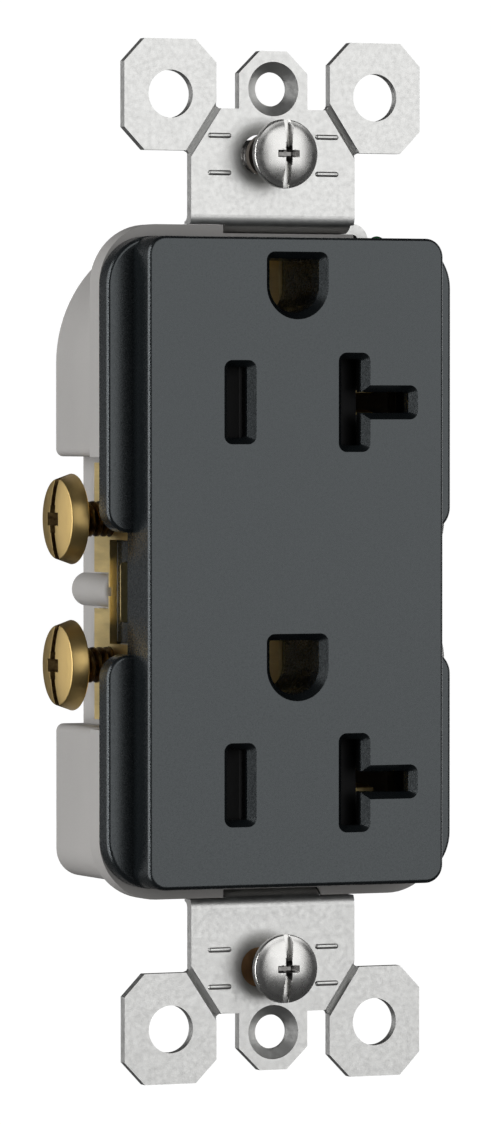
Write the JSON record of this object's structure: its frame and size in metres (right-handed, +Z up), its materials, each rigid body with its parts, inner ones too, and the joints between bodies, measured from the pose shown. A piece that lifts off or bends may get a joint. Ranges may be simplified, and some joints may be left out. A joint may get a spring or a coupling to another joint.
{
  "type": "duplex wall outlet",
  "caption": "Decorator-style duplex wall outlet with blade slots, ground holes, side terminal screws, sliding shutters and a steel mounting strap with ears.",
  "frame": {"origin": "midway between the two box screws, on the rear face of the strap ears", "axes": "+X to the right as seen from the plug side, -Y towards the plug, +Z up with the ground holes above the blade slots"},
  "size_m": [0.043, 0.0232, 0.1068],
  "materials": {
    "cover_plastic": "satin, very fine moulded grain",
    "base_plastic": "matte moulded grey",
    "strap_steel": "galvanized, fine grain",
    "spring_bronze": "satin",
    "contact_brass": "bright rolled strip",
    "terminal_brass": "satin turned",
    "terminal_silver": "nickel-plated satin",
    "clamp_brass": "satin stamped",
    "zinc_steel": "zinc-plated satin",
    "green_screw": "green dyed zinc",
    "fibre": "matte fibre",
    "shutter_plastic": "satin",
    "tray_plastic": "matte",
    "spring_steel": "bright wire",
    "case_steel": "zinc-plated"
  },
  "bodies": {
    "root": {"face_cover": "cover_plastic", "base": "base_plastic", "mounting_strap": "strap_steel", "self_grounding_clip": "spring_bronze", "hot_contact": "contact_brass", "neutral_contact": "contact_brass", "ground_contact": "contact_brass", "ground_rivets": "case_steel", "case_screws": "case_steel", "shutter_spring_upper": "spring_steel", "shutter_spring_lower": "spring_steel", "shutter_tray_upper": "tray_plastic", "shutter_tray_lower": "tray_plastic"},
    "hot_wire_clamp_upper_body": {"hot_wire_clamp_upper": "clamp_brass"},
    "hot_screw_upper_body": {"hot_screw_upper": "terminal_brass"},
    "neutral_wire_clamp_upper_body": {"neutral_wire_clamp_upper": "clamp_brass"},
    "neutral_screw_upper_body": {"neutral_screw_upper": "terminal_silver"},
    "hot_wire_clamp_lower_body": {"hot_wire_clamp_lower": "clamp_brass"},
    "hot_screw_lower_body": {"hot_screw_lower": "terminal_brass"},
    "neutral_wire_clamp_lower_body": {"neutral_wire_clamp_lower": "clamp_brass"},
    "neutral_screw_lower_body": {"neutral_screw_lower": "terminal_silver"},
    "ground_clamp_washer_body": {"ground_clamp_washer": "clamp_brass"},
    "ground_screw_body": {"ground_screw": "green_screw"},
    "screw_retainer_upper_body": {"screw_retainer_upper": "fibre"},
    "mounting_screw_upper_body": {"mounting_screw_upper": "zinc_steel"},
    "screw_retainer_lower_body": {"screw_retainer_lower": "fibre"},
    "mounting_screw_lower_body": {"mounting_screw_lower": "zinc_steel"},
    "hot_shutter_upper_body": {"hot_shutter_upper": "shutter_plastic"},
    "neutral_shutter_upper_body": {"neutral_shutter_upper": "shutter_plastic"},
    "hot_shutter_lower_body": {"hot_shutter_lower": "shutter_plastic"},
    "neutral_shutter_lower_body": {"neutral_shutter_lower": "shutter_plastic"}
  },
  "joints": [
    {"name": "hot_screw_upper_advance", "type": "slide", "parent": "root", "child": "hot_wire_clamp_upper_body", "axis": [1, 0, 0], "range_m": [0, 0.00397]},
    {"name": "hot_screw_upper_turn", "type": "hinge", "parent": "hot_wire_clamp_upper_body", "child": "hot_screw_upper_body", "pos_m": [-0.0192, 0.0063, 0.00436], "axis": [1, 0, 0], "range_deg": [0, 1800]},
    {"name": "neutral_screw_upper_advance", "type": "slide", "parent": "root", "child": "neutral_wire_clamp_upper_body", "axis": [-1, 0, 0], "range_m": [0, 0.00397]},
    {"name": "neutral_screw_upper_turn", "type": "hinge", "parent": "neutral_wire_clamp_upper_body", "child": "neutral_screw_upper_body", "pos_m": [0.0192, 0.0063, 0.00436], "axis": [-1, 0, 0], "range_deg": [0, 1800]},
    {"name": "hot_screw_lower_advance", "type": "slide", "parent": "root", "child": "hot_wire_clamp_lower_body", "axis": [1, 0, 0], "range_m": [0, 0.00397]},
    {"name": "hot_screw_lower_turn", "type": "hinge", "parent": "hot_wire_clamp_lower_body", "child": "hot_screw_lower_body", "pos_m": [-0.0192, 0.0063, -0.01064], "axis": [1, 0, 0], "range_deg": [0, 1800]},
    {"name": "neutral_screw_lower_advance", "type": "slide", "parent": "root", "child": "neutral_wire_clamp_lower_body", "axis": [-1, 0, 0], "range_m": [0, 0.00397]},
    {"name": "neutral_screw_lower_turn", "type": "hinge", "parent": "neutral_wire_clamp_lower_body", "child": "neutral_screw_lower_body", "pos_m": [0.0192, 0.0063, -0.01064], "axis": [-1, 0, 0], "range_deg": [0, 1800]},
    {"name": "ground_screw_advance", "type": "slide", "parent": "root", "child": "ground_clamp_washer_body", "axis": [-1, 0, 0], "range_m": [0, 0.0015]},
    {"name": "ground_screw_turn", "type": "hinge", "parent": "ground_clamp_washer_body", "child": "ground_screw_body", "pos_m": [0.0144, 0.0054, 0.029], "axis": [-1, 0, 0], "range_deg": [0, 680.1]},
    {"name": "mounting_screw_upper_seat", "type": "slide", "parent": "root", "child": "screw_retainer_upper_body", "axis": [0, 1, 0], "range_m": [0, 0.0026]},
    {"name": "mounting_screw_upper_turn", "type": "hinge", "parent": "screw_retainer_upper_body", "child": "mounting_screw_upper_body", "pos_m": [0, -0.0037, 0.04167], "axis": [0, 1, 0], "continuous": true},
    {"name": "mounting_screw_lower_seat", "type": "slide", "parent": "root", "child": "screw_retainer_lower_body", "axis": [0, 1, 0], "range_m": [0, 0.0026]},
    {"name": "mounting_screw_lower_turn", "type": "hinge", "parent": "screw_retainer_lower_body", "child": "mounting_screw_lower_body", "pos_m": [0, -0.0037, -0.04167], "axis": [0, 1, 0], "continuous": true},
    {"name": "hot_shutter_upper_slide", "type": "slide", "parent": "root", "child": "hot_shutter_upper_body", "axis": [1, 0, 0], "range_m": [0, 0.003], "stiffness_N_per_m": 40, "springref_m": -0.002, "deforming": ["shutter_spring_upper"]},
    {"name": "neutral_shutter_upper_slide", "type": "slide", "parent": "root", "child": "neutral_shutter_upper_body", "axis": [-1, 0, 0], "range_m": [0, 0.003], "stiffness_N_per_m": 40, "springref_m": -0.002},
    {"name": "hot_shutter_lower_slide", "type": "slide", "parent": "root", "child": "hot_shutter_lower_body", "axis": [1, 0, 0], "range_m": [0, 0.003], "stiffness_N_per_m": 40, "springref_m": -0.002, "deforming": ["shutter_spring_lower"]},
    {"name": "neutral_shutter_lower_slide", "type": "slide", "parent": "root", "child": "neutral_shutter_lower_body", "axis": [-1, 0, 0], "range_m": [0, 0.003], "stiffness_N_per_m": 40, "springref_m": -0.002}
  ],
  "couplings": [
    {"joint": "hot_screw_upper_turn", "follows": "hot_screw_upper_advance", "rad_per_m": 7913.3},
    {"joint": "neutral_screw_upper_turn", "follows": "neutral_screw_upper_advance", "rad_per_m": 7913.3},
    {"joint": "hot_screw_lower_turn", "follows": "hot_screw_lower_advance", "rad_per_m": 7913.3},
    {"joint": "neutral_screw_lower_turn", "follows": "neutral_screw_lower_advance", "rad_per_m": 7913.3},
    {"joint": "ground_screw_turn", "follows": "ground_screw_advance", "rad_per_m": 7913.3},
    {"joint": "neutral_shutter_upper_slide", "follows": "hot_shutter_upper_slide", "ratio": 1},
    {"joint": "neutral_shutter_lower_slide", "follows": "hot_shutter_lower_slide", "ratio": 1}
  ]
}
